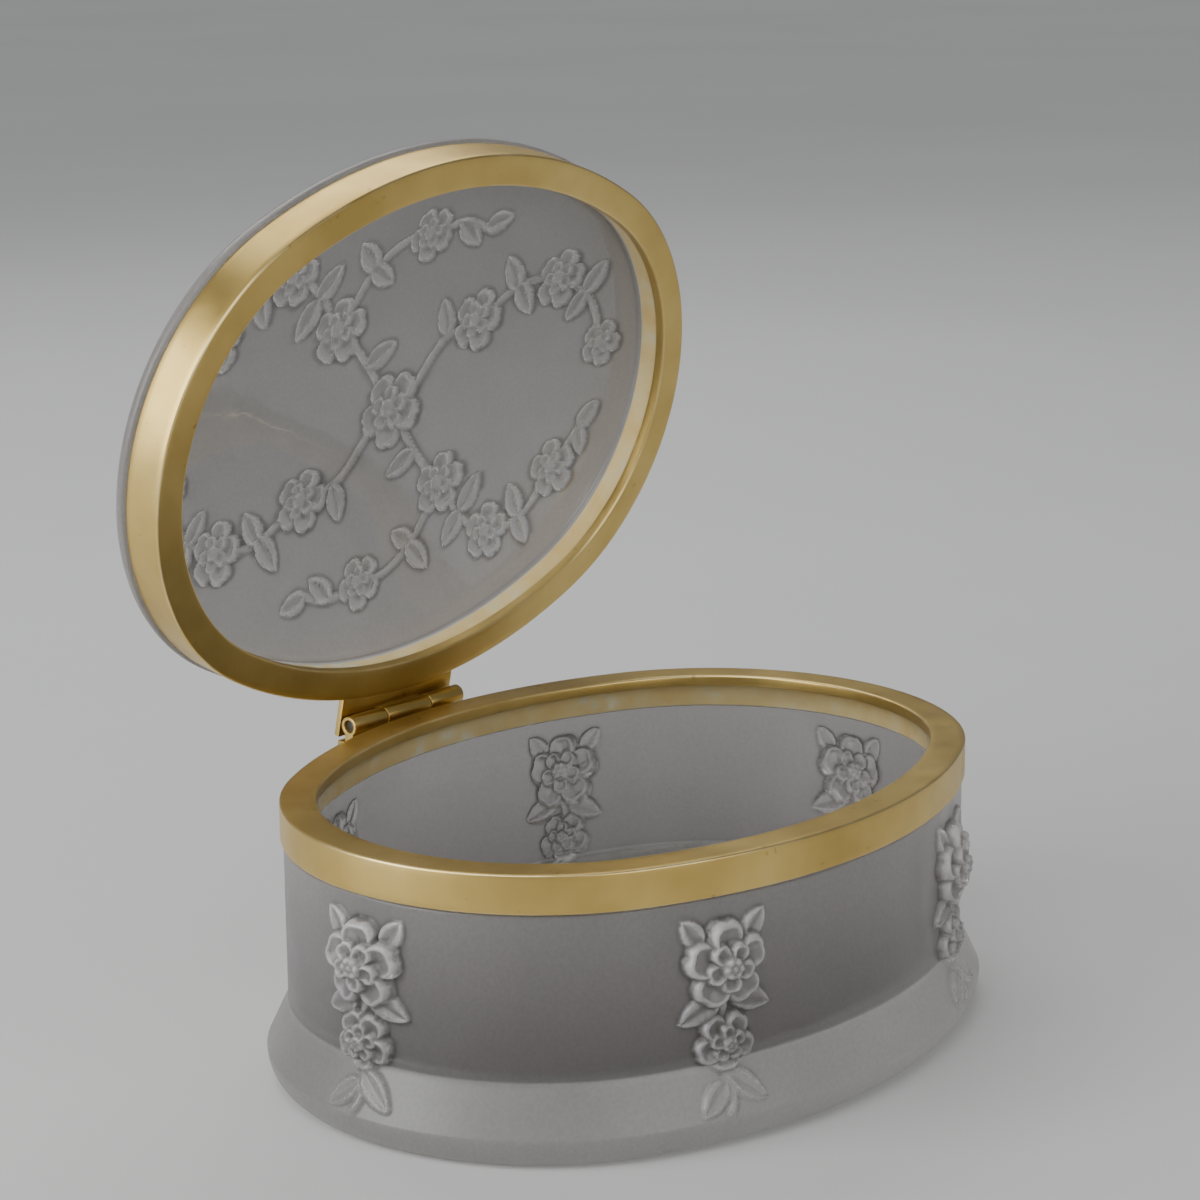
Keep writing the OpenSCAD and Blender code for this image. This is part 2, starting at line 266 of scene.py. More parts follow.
print("a stem through 3 points has", len(stem_points([(0, 0), (5, 5), (9, 0)])), "points")

# %% [markdown]
# A relief collects the motifs over one surface, laid flat. It also tells the
# material how the carving lies, so carving() compares each point with the points
# around it. The material paints raised edges paler, a painted highlight, and the
# valleys darker, a painted shade. On the bowl it also makes the raised edges
# smoother and less clear, as handling rubs them. Every edge also scatters light on
# both of its sides, which shows where the glass is looked through, and outlines()
# tells where.

# %% Relief over a surface
PLAIN = 0.5
EDGE_REACH = 3
EDGE_GAIN = 0.62
OUTLINE_GAIN = 1.6
RAISED_GAIN = 0.13
FULLY_RAISED = 0.8
STEM_SWING = 4


class Relief:
    """Collects motifs over points (a, b) of a flat or unrolled surface, in millimetres."""

    def __init__(self, a, b):
        self.a, self.b = a, b
        self.height = np.zeros(a.shape)

    def near(self, centre, radius):
        """Which points lie closer to a centre than a radius."""
        return np.hypot(self.a - centre[0], self.b - centre[1]) < radius

    def raise_to(self, where, height):
        """Raises those points to a motif's height, unless another motif is higher there."""
        self.height[where] = np.maximum(self.height[where], height)

    def blossom(self, centre, radius, relief, turn=0.0):
        where = self.near(centre, 1.1 * radius)
        du, dv = (self.a[where] - centre[0]) / radius, (self.b[where] - centre[1]) / radius
        u = du * math.cos(turn) + dv * math.sin(turn)
        v = -du * math.sin(turn) + dv * math.cos(turn)
        self.raise_to(where, relief * blossom_height(u, v))

    def leaf(self, root, turn, length, width):
        where = self.near(root, 1.2 * length)
        self.raise_to(where, leaf_height(self.a[where], self.b[where], root, turn, length, width))

    def stem(self, points, radius):
        centre = np.mean(points, axis=0)
        span = max(np.hypot(*(np.array(p) - centre)) for p in points)
        where = self.near(centre, span + 2 * radius + STEM_SWING)
        self.raise_to(where, stem_height(self.a[where], self.b[where], points, radius))

    def above_surroundings(self):
        """How far each point stands above the mean of the points around it."""
        steps = range(-EDGE_REACH, EDGE_REACH + 1)
        total = sum(np.roll(self.height, (i, j), (0, 1)) for i in steps for j in steps)
        return self.height - total / len(steps) ** 2

    def carving(self):
        """0 in a valley, PLAIN on plain glass and 1 along an edge that stands above its surroundings."""
        raised = RAISED_GAIN * smooth_step(0, FULLY_RAISED, self.height)
        return np.clip(PLAIN + EDGE_GAIN * self.above_surroundings() + raised, 0, 1)

    def outlines(self):
        """PLAIN on plain glass and 1 on both sides of every edge, where light comes through scattered."""
        return np.clip(PLAIN + OUTLINE_GAIN * np.abs(self.above_surroundings()), 0, 1)


print("each point is compared with the %d around it" % ((2 * EDGE_REACH + 1) ** 2 - 1))

# %% [markdown]
# Everything that runs round the rim is a set of closed rings joined by four-sided
# faces. This cell turns rows of points into one mesh, with a chosen material for
# each band between two rows. What a material has to know about a place is marked on
# the mesh: how the glass is carved, where its outlines lie, where it is backed by
# cement, and which brass corners are worn.

# %% Meshes from rows of points
CARVING = "carving"
OUTLINES = "outlines"
UNSHADED = "unshaded"
WORN = "worn"
RIM_LINES = "rim_lines"


def build_mesh(name, vertices, faces, materials, indices=None, smooth=True):
    """Object from points in millimetres. The indices say which material each face has."""
    mesh = bpy.data.meshes.new(name)
    mesh.from_pydata((np.asarray(vertices) * MM).tolist(), [], [tuple(map(int, f)) for f in faces])
    mesh.update()
    for material in materials:
        mesh.materials.append(material)
    if indices is not None:
        mesh.polygons.foreach_set("material_index", np.asarray(indices, np.int32))
    mesh.polygons.foreach_set("use_smooth", [smooth] * len(mesh.polygons))
    piece = bpy.data.objects.new(name, mesh)
    bpy.context.scene.collection.objects.link(piece)
    return piece


def ring_faces(rows, columns, closed=False):
    """Four-sided faces between rows of a grid that closes round its columns."""
    i = np.arange(rows if closed else rows - 1)[:, None]
    j = np.arange(columns)[None, :]
    k, n = (i + 1) % rows, (j + 1) % columns
    return np.stack([i * columns + j, i * columns + n, k * columns + n, k * columns + j], -1).reshape(-1, 4)


def mark(piece, name, shares):
    """Writes one share for each vertex, for a material to read under this name."""
    attribute = piece.data.attributes.new(name, "FLOAT", "POINT")
    attribute.data.foreach_set("value", np.asarray(shares, np.float32))
    return piece


print("marks:", CARVING, OUTLINES, UNSHADED, WORN)

# %% [markdown]
# Glass, brass, cement and steel are made of shader nodes, and their noise is in
# object coordinates, so it stays put when the view or the lid moves. A few small
# helpers keep the wiring short. Noise is given as so many features to a metre, and
# a ramp turns it, or a mark, into tones.

# %% Helpers for shader nodes
WHITE = (1, 1, 1)


def new_material(name):
    """A material, its node tree, its shader, and object coordinates."""
    material = bpy.data.materials.new(name)
    material.use_nodes = True
    tree = material.node_tree
    shader = tree.nodes["Principled BSDF"]
    coordinates = tree.nodes.new("ShaderNodeTexCoord")
    return material, tree, shader, coordinates.outputs["Object"]


def noise(tree, coordinates, scale, detail=4.0, stretch=None):
    """Noise of so many features to a metre, which may be stretched along an axis."""
    if stretch:
        mapping = tree.nodes.new("ShaderNodeMapping")
        mapping.inputs["Scale"].default_value = stretch
        tree.links.new(coordinates, mapping.inputs["Vector"])
        coordinates = mapping.outputs["Vector"]
    node = tree.nodes.new("ShaderNodeTexNoise")
    node.inputs["Scale"].default_value = scale
    node.inputs["Detail"].default_value = detail
    tree.links.new(coordinates, node.inputs["Vector"])
    return node.outputs["Fac"]


def ramp(tree, factor, stops):
    """Colours for a factor from 0 to 1, as (position, colour) stops."""
    node = tree.nodes.new("ShaderNodeValToRGB")
    while len(node.color_ramp.elements) < len(stops):
        node.color_ramp.elements.new(0.5)
    for element, (position, colour) in zip(node.color_ramp.elements, stops):
        element.position = position
        element.color = (*colour, 1) if len(colour) == 3 else colour
    tree.links.new(factor, node.inputs["Fac"])
    return node.outputs["Color"]


def grey_stops(low, high, start=0.3, end=0.7):
    """Two stops that take a factor between start and end to a value between low and high."""
    return [(start, (low,) * 3), (end, (high,) * 3)]


def marked(tree, name):
    """The shares that a mesh carries under this name."""
    node = tree.nodes.new("ShaderNodeAttribute")
    node.attribute_name = name
    return node.outputs["Fac"]


def blend(tree, kind, factor, one, two):
    """Mixes two colours. The factor and the second colour may be plain values."""
    node = tree.nodes.new("ShaderNodeMix")
    node.data_type = "RGBA"
    node.blend_type = kind
    sockets = (node.inputs["Factor"], node.inputs["A"], node.inputs["B"])
    for socket, value in zip(sockets, (factor, one, two)):
        if isinstance(value, bpy.types.NodeSocket):
            tree.links.new(value, socket)
        else:
            socket.default_value = value
    return node.outputs["Result"]


def bump(tree, shader, sources):
    """Chains bumps of (height, strength, distance in metres)."""
    normal = None
    for height, strength, distance in sources:
        node = tree.nodes.new("ShaderNodeBump")
        node.inputs["Strength"].default_value = strength
        node.inputs["Distance"].default_value = distance
        tree.links.new(height, node.inputs["Height"])
        if normal:
            tree.links.new(normal, node.inputs["Normal"])
        normal = node.outputs["Normal"]
    tree.links.new(normal, shader.inputs["Normal"])


print("a ramp from dark to light:", grey_stops(0.2, 0.8))

# %% [markdown]
# Acid turns the outside of the glass satin: light still passes, but it scatters, and
# a little of it comes back white. Rough refraction with a share of milky diffuse says
# that. The foot is solid glass, and its tone is painted even and paler than the wall
# just above it: painted light for the light scattered inside the solid foot. Just
# above the foot's corner the wall is painted darkest, a painted shade that pales
# upwards. Both go by the height, so they stay where the solid glass is. A renderer's
# shadow rays stop at glass, so those rays alone see a plain tinted pane, and the
# lamps still reach the inside.
#
# The bowl's raised edges are rubbed smoother and let less light pass. The open lid is
# looked through, so along its outlines more light passes and nearly all of it
# scatters. That is why the two have a material each.

# %% Satin glass
WALL_TONE = (0.585, 0.56, 0.545)
# painted shade in the valleys and painted highlight along raised edges, set by the carving mark
PAINTED_SHADE_VALLEY_TONE = (0.23, 0.22, 0.215)
PAINTED_HIGHLIGHT_EDGE_TONE = (0.95, 0.94, 0.92)
# painted light: the solid foot's even, paler tone stands in for light scattered inside it
PAINTED_LIGHT_FOOT_TONE = (0.455, 0.455, 0.435, 1)
FOOT_RANGE = 48 * MM
FOOT_SHARE = FOOT_TOP * MM / FOOT_RANGE
FOOT_BLUR = 0.006
FOOT_COVER = 0.85
# painted shade: the wall is darkest just above the foot and pales upwards
PAINTED_SHADE_ABOVE_FOOT = [(0.0, WHITE), (0.010, (0.42, 0.42, 0.43)),
              (0.04, (0.50, 0.48, 0.50)), (0.25, (0.64, 0.615, 0.64))]
WALL_THROUGH = 0.77
FOOT_THROUGH = (0.70, 0.70, 0.70, 1)
SATIN_SHADE = (0.36, 0.36, 0.355)
GLASS_IOR = 1.48
GLASS_CLOUDS = 38
SATIN_PATCHES = 160
SATIN_WAVES = 240
ETCHED_TONES = 1300
ETCHED_GRAIN = 1900


def let_lamps_through(material, tint):
    """Lets lamplight pass on to what is behind the glass, tinted, as real glass does."""
    tree = material.node_tree
    output = tree.nodes["Material Output"]
    shader = tree.nodes["Principled BSDF"]
    path = tree.nodes.new("ShaderNodeLightPath")
    clear = tree.nodes.new("ShaderNodeBsdfTransparent")
    clear.inputs["Color"].default_value = (*tint, 1)
    mix = tree.nodes.new("ShaderNodeMixShader")
    tree.links.new(path.outputs["Is Shadow Ray"], mix.inputs[0])
    tree.links.new(shader.outputs[0], mix.inputs[1])
    tree.links.new(clear.outputs[0], mix.inputs[2])
    tree.links.new(mix.outputs[0], output.inputs["Surface"])
    return material


def satin_glass(name, scattering, edge_through, edge_roughness):
    """Acid-etched glass with painted highlight and shade by its carving, painted light on the foot and
    painted shade above it. The edge values hold where a mark is high.
    """
    material, tree, shader, at = new_material(name)
    shader.inputs["IOR"].default_value = GLASS_IOR
    height = tree.nodes.new("ShaderNodeSeparateXYZ")
    tree.links.new(at, height.inputs[0])
    share = tree.nodes.new("ShaderNodeMath")
    share.operation = "DIVIDE"
    share.inputs[1].default_value = FOOT_RANGE
    tree.links.new(height.outputs["Z"], share.inputs[0])
    level = share.outputs[0]
    solid = ramp(tree, level, grey_stops(FOOT_COVER, 0, FOOT_SHARE - FOOT_BLUR, FOOT_SHARE + FOOT_BLUR))
    # painted shade band above the foot, set by height
    above = ramp(tree, level, [(FOOT_SHARE + rise, tone) for rise, tone in PAINTED_SHADE_ABOVE_FOOT] + [(1.0, WHITE)])
    clouds = ramp(tree, noise(tree, at, GLASS_CLOUDS, 5), grey_stops(0.90, 1.0))
    grain = ramp(tree, noise(tree, at, ETCHED_TONES, 3), grey_stops(0.88, 1.0, 0.35, 0.65))
    # painted highlight on raised edges and painted shade in valleys
    tone = ramp(tree, marked(tree, CARVING), [(0.1, PAINTED_SHADE_VALLEY_TONE), (0.5, WALL_TONE), (0.9, PAINTED_HIGHLIGHT_EDGE_TONE)])
    # painted light on the foot, mixed in where the glass is solid
    tone = blend(tree, "MIX", solid, tone, PAINTED_LIGHT_FOOT_TONE)
    for layer in (above, clouds, grain):
        tone = blend(tree, "MULTIPLY", 1.0, tone, layer)
    tree.links.new(tone, shader.inputs["Base Color"])
    through = ramp(tree, marked(tree, scattering), grey_stops(WALL_THROUGH, edge_through, 0.5, 0.9))
    tree.links.new(blend(tree, "MIX", solid, through, FOOT_THROUGH), shader.inputs["Transmission Weight"])
    satin = ramp(tree, noise(tree, at, SATIN_PATCHES, 6), grey_stops(0.30, 0.40))
    edges = ramp(tree, marked(tree, scattering), grey_stops(0, 1, 0.5, 0.85))
    rough = blend(tree, "MIX", edges, satin, (edge_roughness,) * 3 + (1,))
    tree.links.new(rough, shader.inputs["Roughness"])
    etching = (noise(tree, at, ETCHED_GRAIN, 3), 0.25, 0.00006)
    waves = (noise(tree, at, SATIN_WAVES, 4), 0.10, 0.0002)
    bump(tree, shader, [etching, waves])
    return let_lamps_through(material, SATIN_SHADE)


FROSTED = satin_glass("frosted_glass", CARVING, 0.50, 0.22)
FROSTED_LID = satin_glass("frosted_lid_glass", OUTLINES, 0.90, 0.95)
print("satin glass:", FROSTED.name, FROSTED_LID.name)

# %% [markdown]
# The inside stays polished: clear refraction with faint scratches. Looked through,
# it is tinted a dark, slightly uneven grey, a painted shade that darkens what is seen
# through it. Beside the cement the painted shade is left off where the mesh is
# marked, so the glass keeps nearly no tint and the golden band stays bright.

# %% Clear glass
# painted shade: the clear glass is tinted dark grey to darken what is seen through it
PAINTED_SHADE_DARK_TONE = (0.37, 0.362, 0.355)
PAINTED_SHADE_LIGHT_TONE = (0.42, 0.41, 0.403)
# the painted shade is left off beside the cement, where the mesh is marked
UNSHADED_TONE = (0.96, 0.955, 0.94, 1)
CLEAR_SHADE = (0.85, 0.85, 0.85)
CLEAR_CLOUDS = 30
CLEAR_WAVES = 90
SCRATCHES = 420
SCRATCH_STRETCH = (1, 1, 4)


def clear_glass():
    """Polished glass with fine scratches and a dark grey tint that is painted shade, left off where the mesh
    is marked.
    """
    material, tree, shader, at = new_material("clear_glass")
    shader.inputs["Transmission Weight"].default_value = 1.0
    shader.inputs["IOR"].default_value = GLASS_IOR
    # painted shade tint, left off where the mesh is marked beside the cement
    painted_shade_tint = ramp(tree, noise(tree, at, CLEAR_CLOUDS, 3), [(0.3, PAINTED_SHADE_DARK_TONE), (0.7, PAINTED_SHADE_LIGHT_TONE)])
    tree.links.new(blend(tree, "MIX", marked(tree, UNSHADED), painted_shade_tint, UNSHADED_TONE), shader.inputs["Base Color"])
    scratches = noise(tree, at, SCRATCHES, 6, SCRATCH_STRETCH)
    tree.links.new(ramp(tree, scratches, grey_stops(0.02, 0.09, 0.45, 0.8)), shader.inputs["Roughness"])
    bump(tree, shader, [(noise(tree, at, CLEAR_WAVES, 3), 0.08, 0.0006)])
    return let_lamps_through(material, CLEAR_SHADE)


CLEAR = clear_glass()
print("polished glass:", CLEAR.name)

# %% [markdown]
# The collars are brass sheet, gilded and rubbed to a soft satin. The gilding is a
# browner gold in clouds, faint rubbing lines run round the rim, and a fleck of it
# has gone dull here and there. Corners, which hands and cloths reach first, are
# worn paler. The hinge has the same finish, but its lines run along its barrel.

# %% Gilt brass
BROWN_GOLD = (0.55, 0.38, 0.11)
MID_GOLD = (0.69, 0.495, 0.16)
PALE_GOLD = (0.80, 0.60, 0.22)
RUBBED_GOLD = (0.93, 0.76, 0.40, 1)
DULL_FLECK = (0.50, 0.38, 0.22)
SATIN_METAL = (0.30, 0.40)
GOLD_CLOUDS = 42
RUBBED_PATCHES = 90
FLECKS = 330
METAL_HAZE = 120
METAL_WAVES = 60
RIM_STRETCH = (50, 1500, 1)
BARREL_STRETCH = (60, 1500, 1500)


def gilt_brass(name, lines_round_rim):
    """Satin gilding, rubbed paler where the mesh is marked as worn."""
    material, tree, shader, at = new_material(name)
    shader.inputs["Metallic"].default_value = 1.0
    golds = [(0.28, BROWN_GOLD), (0.5, MID_GOLD), (0.72, PALE_GOLD)]
    gold = ramp(tree, noise(tree, at, GOLD_CLOUDS, 6), golds)
    patches = ramp(tree, noise(tree, at, RUBBED_PATCHES, 5), grey_stops(0.2, 1))
    rubbed = blend(tree, "MULTIPLY", 1.0, marked(tree, WORN), patches)
    gold = blend(tree, "MIX", rubbed, gold, RUBBED_GOLD)
    flecks = ramp(tree, noise(tree, at, FLECKS, 3), [(0.24, DULL_FLECK), (0.30, WHITE)])
    tree.links.new(blend(tree, "MULTIPLY", 0.6, gold, flecks), shader.inputs["Base Color"])
    if lines_round_rim:
        rim = tree.nodes.new("ShaderNodeUVMap")
        rim.uv_map = RIM_LINES
        lines = noise(tree, rim.outputs["UV"], 1, 2, RIM_STRETCH)
    else:
        lines = noise(tree, at, 1, 2, BARREL_STRETCH)
    satin = grey_stops(*SATIN_METAL)
    haze = ramp(tree, noise(tree, at, METAL_HAZE, 5), satin)
    tree.links.new(blend(tree, "MIX", 0.3, haze, ramp(tree, lines, satin)), shader.inputs["Roughness"])
    bump(tree, shader, [(lines, 0.02, 0.00002), (noise(tree, at, METAL_WAVES, 3), 0.02, 0.0004)])
    return material


BRASS = gilt_brass("gilt_brass", True)
HINGE_BRASS = gilt_brass("hinge_brass", False)
print("brass:", BRASS.name, HINGE_BRASS.name)

# %% [markdown]
# The cement lies under a wash of gilding and shows through the clear glass as a
# golden band. It has gone chalky in patches, and there it is paler and no longer
# metallic. The hinge pin is dark steel, only seen at its ends.

# %% Cement and pin steel
GILDED_CEMENT = (0.93, 0.69, 0.27)
THIN_GILDING = (0.97, 0.80, 0.40)
CHALKY_CEMENT = (0.90, 0.87, 0.66)
DARK_STEEL = (0.06, 0.056, 0.05)
GREY_STEEL = (0.17, 0.16, 0.14)


def setting_cement():
    """Cement under a wash of gilding, chalky in patches."""
    material, tree, shader, at = new_material("setting_cement")
    patches = noise(tree, at, 110, 6)
    tones = [(0.3, GILDED_CEMENT), (0.55, THIN_GILDING), (0.68, CHALKY_CEMENT)]
    tree.links.new(ramp(tree, patches, tones), shader.inputs["Base Color"])
    tree.links.new(ramp(tree, patches, grey_stops(0.45, 0.05, 0.55, 0.68)), shader.inputs["Metallic"])
    tree.links.new(ramp(tree, noise(tree, at, 300, 4), grey_stops(0.35, 0.6)), shader.inputs["Roughness"])
    bump(tree, shader, [(noise(tree, at, 700, 5), 0.3, 0.0001)])
    return material


def pin_steel():
    """Dark steel, mottled grey."""
    material, tree, shader, at = new_material("pin_steel")
    shader.inputs["Metallic"].default_value = 1.0
    mottle = ramp(tree, noise(tree, at, 600, 5), [(0.3, DARK_STEEL), (0.7, GREY_STEEL)])
    tree.links.new(mottle, shader.inputs["Base Color"])
    tree.links.new(ramp(tree, noise(tree, at, 900, 4), grey_stops(0.35, 0.6)), shader.inputs["Roughness"])
    bump(tree, shader, [(noise(tree, at, 1500, 4), 0.3, 0.0001)])
    return material


PLASTER = setting_cement()
STEEL = pin_steel()
print("cement and steel:", PLASTER.name, STEEL.name)

# %% [markdown]
# Six sprays stand round the bowl, one at each end and four on the long sides. Each
# is a large blossom over a small one, with leaves between and a stem that runs down
# onto the foot. The wall is unrolled to lay them out: a is the way along the wall
# and b the height. A leaf is listed by its root, its direction in degrees, its length
# and its width.

# %% Sprays on the bowl
BLOSSOM_RADIUS = 9.0
BUD_RADIUS = 6.6
BOWL_RELIEF = 5.2
BLOSSOM_HEIGHT = 36.0
BUD_HEIGHT = 20.5
SPRAY_OFFSET = 38.0
STEM_RADIUS = 1.0
SPRAY_STEM = [(0.5, 30), (-1.2, 20), (0.8, 11), (-0.6, 6.8)]
SPRAY_LEAVES = [(1.5, 30.0, -22, 9.5, 5.2), (-1.5, 29.0, 205, 9.0, 5.0), (0.6, 14.0, -38, 9.0, 4.6),
                (-0.4, 12.5, 222, 8.0, 4.2), (-5.0, 40.5, 128, 6.5, 4.4), (5.0, 40.5, 52, 6.5, 4.4)]


def spray_directions():
    """Directions that the six sprays face."""
    side = math.asin(SPRAY_OFFSET / SIDE_RADIUS)
    return [0.0, QUARTER - side, QUARTER + side, 2 * QUARTER, 3 * QUARTER - side, 3 * QUARTER + side]


def along_wall(facing):
    """Length of wall from the +X end to where the wall faces a direction."""
    ends, sides = END_RADIUS + WALL_OFFSET, SIDE_RADIUS + WALL_OFFSET
    marks = [0, END_SWEEP, math.pi - END_SWEEP, math.pi + END_SWEEP, FULL_TURN - END_SWEEP, FULL_TURN]
    lengths = [0]
    for start, stop, radius in zip(marks, marks[1:], [ends, sides] * 2 + [ends]):
        lengths.append(lengths[-1] + (stop - start) * radius)
    return np.interp(facing, marks, lengths)


def carve_spray(relief, a):
    """One spray, at this way along the wall."""
    relief.stem([(a + aside, b) for aside, b in SPRAY_STEM], STEM_RADIUS)
    for aside, b, turn, length, width in SPRAY_LEAVES:
        relief.leaf((a + aside, b), math.radians(turn), length, width)
    relief.blossom((a, BLOSSOM_HEIGHT), BLOSSOM_RADIUS, BOWL_RELIEF)
    bud_relief = BOWL_RELIEF * BUD_RADIUS / BLOSSOM_RADIUS
    relief.blossom((a, BUD_HEIGHT), BUD_RADIUS, bud_relief, math.radians(PETAL_TURN / 2))


print("sprays face", [round(math.degrees(t)) for t in spray_directions()])

# %% [markdown]
# A fine mesh everywhere would be wasteful, so the bowl's columns are close together
# only across the sprays. Down the outside, the rings follow the wall, a tight corner,
# the foot's slope and its crest, which rolls under to the ground face.

# %% Columns and profile of the bowl
FINE_STEP = 0.32
COARSE_STEP = 2.0
SPRAY_REACH = 10.5
STEP_GROWTH = 0.35
WALL_START = 0.4
SLOPE_SHARE = 0.034
LOOKUP_STEPS = 4000


def wall_directions():
    """Directions and stations of the bowl's columns, the sprays' stations, and the wall's length."""
    total = float(along_wall(FULL_TURN))
    centres = [float(along_wall(t)) for t in spray_directions()]
    stations, a = [], 0.0
    while a < total - 0.5 * FINE_STEP:
        stations.append(a)
        gap = min(abs((a - c + total / 2) % total - total / 2) for c in centres)
        wider = min(COARSE_STEP, FINE_STEP + STEP_GROWTH * (gap - SPRAY_REACH))
        a += FINE_STEP if gap < SPRAY_REACH else wider
    facing = np.linspace(0, FULL_TURN, LOOKUP_STEPS + 1)
    return np.interp(stations, along_wall(facing), facing), np.array(stations), centres, total


def soft_corner(start, corner, end, count):
    """Points of a curve that leaves start towards the corner and reaches end from there."""
    return [(1 - t) ** 2 * start + 2 * t * (1 - t) * corner + t ** 2 * end for t in np.linspace(0, 1, count)]


def foot_profile():
    """Outside of the bowl from the shoulder down to the ground face: (offset, height) points."""
    crest = WALL_OFFSET + FOOT_SPREAD
    wall = [(WALL_OFFSET, z) for z in np.arange(SHOULDER - WALL_START, FOOT_TOP + FOOT_CORNER, -FINE_STEP)]
    corner, edge = np.array([WALL_OFFSET, FOOT_TOP]), np.array([crest, FOOT_CREST])
    down = (edge - corner) / np.hypot(*(edge - corner))
    start, end = corner + [0, FOOT_CORNER], corner + down * FOOT_CORNER
    slope = [end + (edge - end) * share for share in np.arange(0, 1, SLOPE_SHARE)[1:]]
    roll = [(crest - FOOT_UNDERCUT * (1 - math.sin(t)), FOOT_CREST * (1 - math.cos(t)))
            for t in np.linspace(QUARTER, 0.0, 14)]
    return wall + [tuple(p) for p in soft_corner(start, corner, end, 8) + slope] + roll


def outward(profile):
    """Unit directions (offset, height) that a profile faces."""
    p = np.array(profile)
    run = np.gradient(p, axis=0)
    facing = np.stack([-run[:, 1], run[:, 0]], -1)
    return facing / np.linalg.norm(facing, axis=1, keepdims=True)


print("the bowl has %d columns and %d rings outside" % (len(wall_directions()[0]), len(foot_profile())))

# %% [markdown]
# The bowl is one closed skin: from the floor's middle up the inside, over the neck,
# and down the frosted wall and foot to the ground underside. The relief moves points
# straight out of the glass, and it fades out just under the shoulder and at the
# crest. Cement sticks to the neck without any air between, so it shows right on the
# glass there, and the neck's faces carry the cement's material.

# %% Bowl
BOWL_SKINS = [CLEAR, FROSTED, PLASTER]
IN_CLEAR, IN_FROSTED, IN_CEMENT = range(3)
BONDED_BANDS = 4
BAND_DROP = 0.8
SHOULDER_BREAK = 0.2
FADE_BELOW_SHOULDER = 1.6
FADE_ROUND_CREST = (-1.0, 1.5)
FLOOR_SHARES = (0.85, 0.6, 0.3, 0.05)
GROUND_SHARES = (0.9, 0.6, 0.3, 0.05)


def place(piece, body, node):
    """Hangs the piece on the body it rides on, and hides the CAD node it stands in for."""
    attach(piece, body)
    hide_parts(node)
    print("%s: %d faces" % (piece.name, len(piece.data.polygons)))


def shrink_to_middle(ring, shares):
    """Copies of a ring, drawn in towards the middle at its own height."""
    return [ring * np.array([share, share, 1.0]) for share in shares]


def glass_bowl():
    """The whole bowl as one closed mesh."""
    facing, stations, centres, total = wall_directions()
    profile = foot_profile()
    a = np.broadcast_to(stations, (len(profile), len(stations))).copy()
    b = np.array([p[1] for p in profile])[:, None] + np.zeros(a.shape)
    a[:, stations > total - SPRAY_REACH - COARSE_STEP] -= total
    relief = Relief(a, b)
    for centre in centres:
        carve_spray(relief, centre)
    below_shoulder = smooth_step(SHOULDER - WALL_START, SHOULDER - FADE_BELOW_SHOULDER, b)
    low, high = FADE_ROUND_CREST
    relief.height *= below_shoulder * smooth_step(FOOT_CREST + low, FOOT_CREST + high, b)

    fillet = []
    for t in np.linspace(0, QUARTER, 7):
        fillet.append(ring_points(facing, BOWL_INSIDE - FLOOR_FILLET + FLOOR_FILLET * math.cos(t),
                                  FLOOR + FLOOR_FILLET - FLOOR_FILLET * math.sin(t)))
    wall_foot = FLOOR + FLOOR_FILLET + 2
    inside = [ring_points(facing, BOWL_INSIDE, z) for z in np.linspace(SHOULDER + BAND_DROP, wall_foot, 5)]
    band_low = SHOULDER + BAND_DROP + NECK_BREAK
    beside = [ring_points(facing, BOWL_INSIDE, z) for z in (NECK_TOP - NECK_BREAK, band_low)]
    floor = shrink_to_middle(fillet[-1], FLOOR_SHARES)
    clear = (beside + inside + fillet + floor)[::-1]
    neck = [ring_points(facing, offset, z) for offset, z in (
        (BOWL_INSIDE - NECK_BREAK, NECK_TOP), (NECK_OFFSET - NECK_BREAK, NECK_TOP),
        (NECK_OFFSET, NECK_TOP - NECK_BREAK), (NECK_OFFSET, SHOULDER + CREASE_HEIGHT),
        (NECK_OFFSET + CREASE_WIDTH, SHOULDER), (WALL_OFFSET - SHOULDER_BREAK, SHOULDER))]
    outside = []
    for (offset, z), out, height in zip(profile, outward(profile), relief.height):
        outside.append(ring_points(facing, offset + height * out[0], z + height * out[1]))
    ground = shrink_to_middle(outside[-1], GROUND_SHARES)

    rows = np.array(clear + neck + outside + ground)
    columns = len(facing)
    faces = ring_faces(len(rows), columns)[:, ::-1].tolist()
    kinds = [IN_CLEAR] * len(clear) + [IN_CEMENT] * BONDED_BANDS
    kinds += [IN_FROSTED] * (len(rows) - 1 - len(kinds))
    indices = np.repeat(kinds, columns).tolist()
    vertices = np.vstack([rows.reshape(-1, 3), [[0, 0, FLOOR], [0, 0, 0]]])
    top_pole, low_pole = len(vertices) - 2, len(vertices) - 1
    last = (len(rows) - 1) * columns
    for j in range(columns):
        k = (j + 1) % columns
        faces += [[top_pole, j, k], [low_pole, last + k, last + j]]
        indices += [IN_CLEAR, IN_FROSTED]
    piece = build_mesh("glass_bowl_moulded", vertices, faces, BOWL_SKINS, indices)

    carving = np.full(len(vertices), PLAIN)
    first = (len(clear) + len(neck)) * columns
    carving[first:first + relief.height.size] = relief.carving().ravel()
    # the painted shade of the clear glass is left off on the rows beside the cement
    unshaded = np.zeros(len(vertices))
    unshaded[(len(clear) - len(beside)) * columns:len(clear) * columns] = 1
    return mark(mark(piece, CARVING, carving), UNSHADED, unshaded)


bowl = glass_bowl()
place(bowl, "base", "glass_bowl")

# %% [markdown]
# The lid's dome needs even, four-sided faces right across it, for the blossoms that
# stand on it. A square grid is bent into a disc and stretched to the oval, which
# keeps its cells nearly alike. The grid's border is a ring, and the lid's edge, neck
# and inside follow on from that ring.

# %% Disc of even cells
DOME_CELLS = 336
CEILING_CELLS = 56


